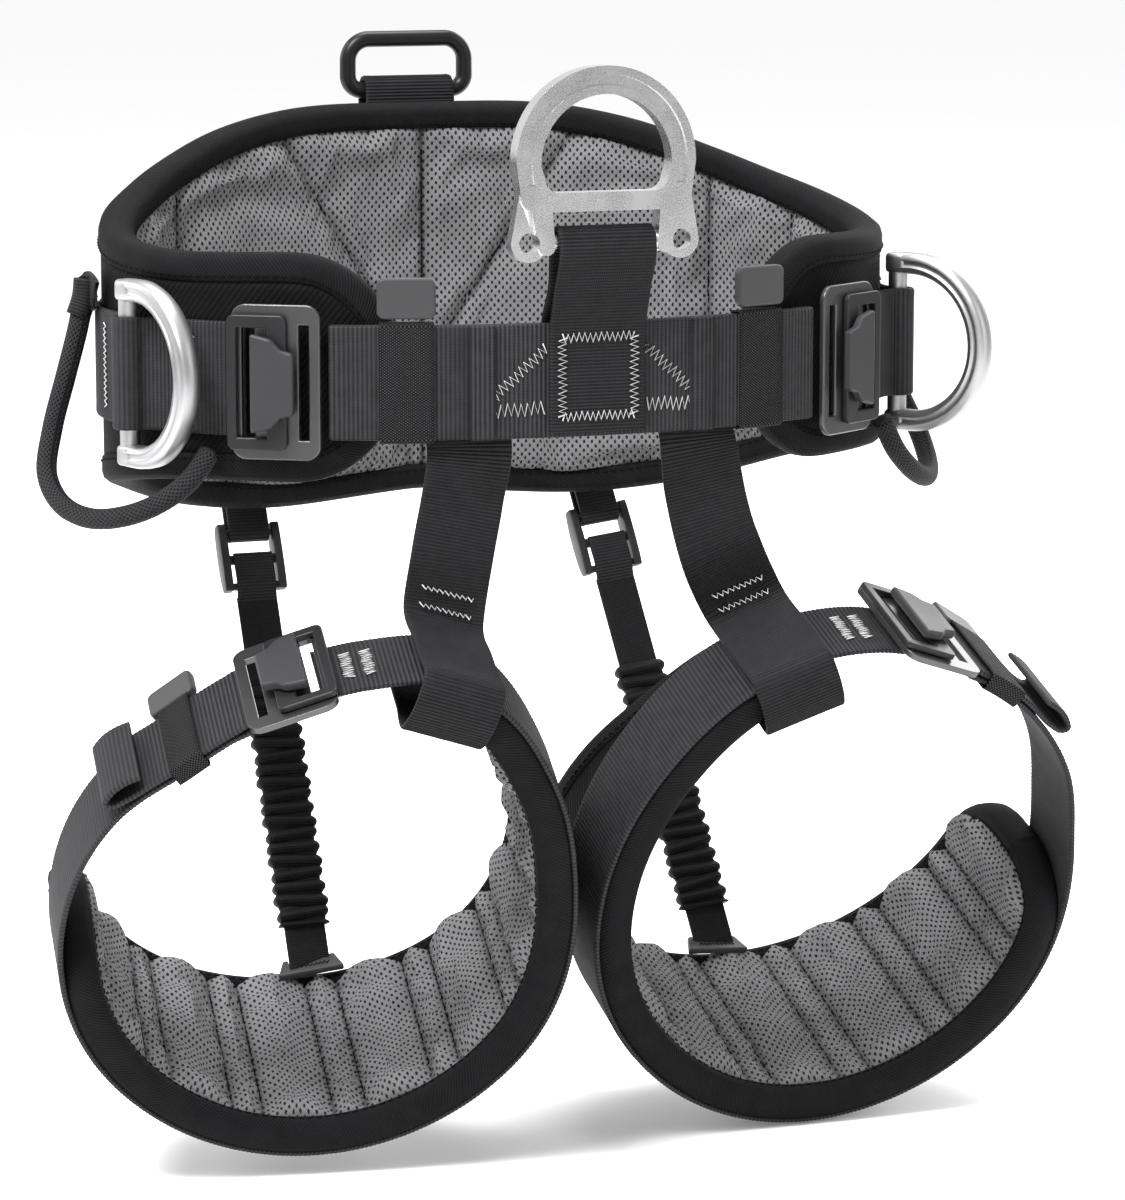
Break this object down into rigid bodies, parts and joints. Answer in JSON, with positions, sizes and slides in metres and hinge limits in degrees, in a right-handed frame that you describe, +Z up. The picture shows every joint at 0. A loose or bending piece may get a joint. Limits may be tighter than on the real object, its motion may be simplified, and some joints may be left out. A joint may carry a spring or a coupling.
{
  "type": "tree climbing saddle",
  "caption": "Padded waist belt and leg loops for tree climbing, with a forged front ring, swinging side rings, a rear ring, quick buckles and sleeved gear loops.",
  "frame": {"origin": "centre of the waist ring at the height of the middle of the front belt", "axes": "+Z up along the wearer's spine, -Y forwards out of the wearer's belly, -X the wearer's right-hand side"},
  "size_m": [0.4299, 0.2854, 0.4495],
  "materials": {
    "webbing": "matt ribbed nylon",
    "binding": "matt twill",
    "pad_cover": "matt textured",
    "mesh_liner": "matt perforated mesh",
    "foam": "matt closed cell foam",
    "elastic": "matt woven elastic",
    "gear_loop_sleeve": "matt braid",
    "buckle_plate": "dark satin anodised",
    "buckle_cover": "matt rubbery",
    "dark_plastic": "satin",
    "polished_aluminium": "polished",
    "black_ring": "gloss black"
  },
  "bodies": {
    "saddle": {"waist_outer_shell": "pad_cover", "waist_foam_core": "foam", "waist_mesh_liner": "mesh_liner", "waist_edge_binding": "binding", "back_belt_webbing": "webbing", "front_bridge_webbing": "webbing", "ventral_loop_webbing": "webbing", "rear_ring_webbing": "webbing", "left_side_webbing": "webbing", "left_belt_strap": "webbing", "left_waist_buckle_frame": "buckle_plate", "left_waist_buckle_hook": "buckle_plate", "left_rear_strap": "webbing", "right_side_webbing": "webbing", "right_belt_strap": "webbing", "right_waist_buckle_frame": "buckle_plate", "right_waist_buckle_hook": "buckle_plate", "right_rear_strap": "webbing"},
    "ventral_ring": {"ventral_d_ring": "polished_aluminium"},
    "rear_ring": {"rear_ring": "black_ring"},
    "left_side_ring": {"left_side_d_ring": "polished_aluminium"},
    "left_waist_cover": {"left_waist_buckle_cover": "buckle_cover"},
    "left_belt_keeper": {"left_belt_keeper": "elastic", "left_keeper_clip": "dark_plastic"},
    "left_gear_loop": {"left_gear_loop": "gear_loop_sleeve"},
    "left_leg": {"left_leg_outer_shell": "pad_cover", "left_leg_foam_core": "foam", "left_leg_mesh_liner": "mesh_liner", "left_leg_edge_binding": "binding", "left_leg_riser": "webbing", "left_leg_strap": "webbing", "left_leg_hook_webbing": "webbing", "left_leg_buckle_frame": "buckle_plate", "left_leg_buckle_hook": "buckle_plate", "left_elastic_strap": "elastic", "left_rear_anchor_tab": "dark_plastic"},
    "left_leg_cover": {"left_leg_buckle_cover": "buckle_cover"},
    "left_leg_keeper": {"left_leg_keeper": "elastic", "left_leg_keeper_clip": "dark_plastic"},
    "left_ladder_lock": {"left_ladder_lock": "dark_plastic"},
    "right_side_ring": {"right_side_d_ring": "polished_aluminium"},
    "right_waist_cover": {"right_waist_buckle_cover": "buckle_cover"},
    "right_belt_keeper": {"right_belt_keeper": "elastic", "right_keeper_clip": "dark_plastic"},
    "right_gear_loop": {"right_gear_loop": "gear_loop_sleeve"},
    "right_leg": {"right_leg_outer_shell": "pad_cover", "right_leg_foam_core": "foam", "right_leg_mesh_liner": "mesh_liner", "right_leg_edge_binding": "binding", "right_leg_riser": "webbing", "right_leg_strap": "webbing", "right_leg_hook_webbing": "webbing", "right_leg_buckle_frame": "buckle_plate", "right_leg_buckle_hook": "buckle_plate", "right_elastic_strap": "elastic", "right_rear_anchor_tab": "dark_plastic"},
    "right_leg_cover": {"right_leg_buckle_cover": "buckle_cover"},
    "right_leg_keeper": {"right_leg_keeper": "elastic", "right_leg_keeper_clip": "dark_plastic"},
    "right_ladder_lock": {"right_ladder_lock": "dark_plastic"}
  },
  "joints": [
    {"name": "ventral_ring_swing", "type": "hinge", "parent": "saddle", "child": "ventral_ring", "pos_m": [0, -0.126, 0.0545], "axis": [1, 0, 0], "range_deg": [-20, 110]},
    {"name": "rear_ring_swing", "type": "hinge", "parent": "saddle", "child": "rear_ring", "pos_m": [0, 0.119, 0.1], "axis": [-1, 0, 0], "range_deg": [-25, 110]},
    {"name": "left_side_ring_swing", "type": "hinge", "parent": "saddle", "child": "left_side_ring", "pos_m": [-0.16625, -0.03415, 0], "axis": [0, 0, -1], "range_deg": [0, 90]},
    {"name": "left_waist_cover_lift", "type": "hinge", "parent": "saddle", "child": "left_waist_cover", "pos_m": [-0.13045, -0.08459, 0], "axis": [0, 0, -1], "range_deg": [0, 18], "stiffness_Nm_per_rad": 0.06, "springref_deg": -5.73},
    {"name": "left_belt_keeper_slide", "type": "slide", "parent": "saddle", "child": "left_belt_keeper", "axis": [0.9532, -0.3022, 0], "range_m": [-0.005, 0.005]},
    {"name": "left_gear_loop_swing", "type": "hinge", "parent": "saddle", "child": "left_gear_loop", "pos_m": [-0.157, -0.0285, 0.0025], "axis": [-0.2612, 0.793, 0.5504], "range_deg": [0, 20]},
    {"name": "left_leg_swing", "type": "hinge", "parent": "saddle", "child": "left_leg", "pos_m": [0, -0.105, -0.024], "axis": [1, 0, 0], "range_deg": [-12, 12], "stiffness_Nm_per_rad": 4, "deforming": ["left_elastic_strap"]},
    {"name": "left_leg_cover_lift", "type": "hinge", "parent": "left_leg", "child": "left_leg_cover", "pos_m": [-0.12367, -0.12711, -0.104], "axis": [0.147, 0.9281, 0.342], "range_deg": [0, 18], "stiffness_Nm_per_rad": 0.06, "springref_deg": -5.73},
    {"name": "left_leg_keeper_slide", "type": "slide", "parent": "left_leg", "child": "left_leg_keeper", "axis": [-0.7419, 0.3322, -0.5825], "range_m": [-0.003, 0.003]},
    {"name": "left_lock_tilt", "type": "hinge", "parent": "saddle", "child": "left_ladder_lock", "pos_m": [-0.07997, 0.09792, -0.08786], "axis": [1, 0.0012, 0.0025], "range_deg": [-15, 15]},
    {"name": "right_side_ring_swing", "type": "hinge", "parent": "saddle", "child": "right_side_ring", "pos_m": [0.16625, -0.03415, 0], "axis": [0, 0, 1], "range_deg": [-50, 40]},
    {"name": "right_waist_cover_lift", "type": "hinge", "parent": "saddle", "child": "right_waist_cover", "pos_m": [0.13045, -0.08459, 0], "axis": [0, 0, 1], "range_deg": [0, 18], "stiffness_Nm_per_rad": 0.06, "springref_deg": -5.73},
    {"name": "right_belt_keeper_slide", "type": "slide", "parent": "saddle", "child": "right_belt_keeper", "axis": [-0.9532, -0.3022, 0], "range_m": [-0.005, 0.005]},
    {"name": "right_gear_loop_swing", "type": "hinge", "parent": "saddle", "child": "right_gear_loop", "pos_m": [0.157, -0.0285, 0.0025], "axis": [-0.2612, -0.793, -0.5504], "range_deg": [0, 20]},
    {"name": "right_leg_swing", "type": "hinge", "parent": "saddle", "child": "right_leg", "pos_m": [0, -0.105, -0.024], "axis": [1, 0, 0], "range_deg": [-12, 12], "stiffness_Nm_per_rad": 4, "deforming": ["right_elastic_strap"]},
    {"name": "right_leg_cover_lift", "type": "hinge", "parent": "right_leg", "child": "right_leg_cover", "pos_m": [0.12861, -0.13041, -0.09971], "axis": [0, -0.9397, -0.342], "range_deg": [0, 18], "stiffness_Nm_per_rad": 0.06, "springref_deg": -5.73},
    {"name": "right_leg_keeper_slide", "type": "slide", "parent": "right_leg", "child": "right_leg_keeper", "axis": [0.8413, 0.1849, -0.5079], "range_m": [-0.003, 0.003]},
    {"name": "right_lock_tilt", "type": "hinge", "parent": "saddle", "child": "right_ladder_lock", "pos_m": [0.08141, 0.09844, -0.088], "axis": [0.9918, 0.0512, 0.1174], "range_deg": [-15, 15]}
  ]
}
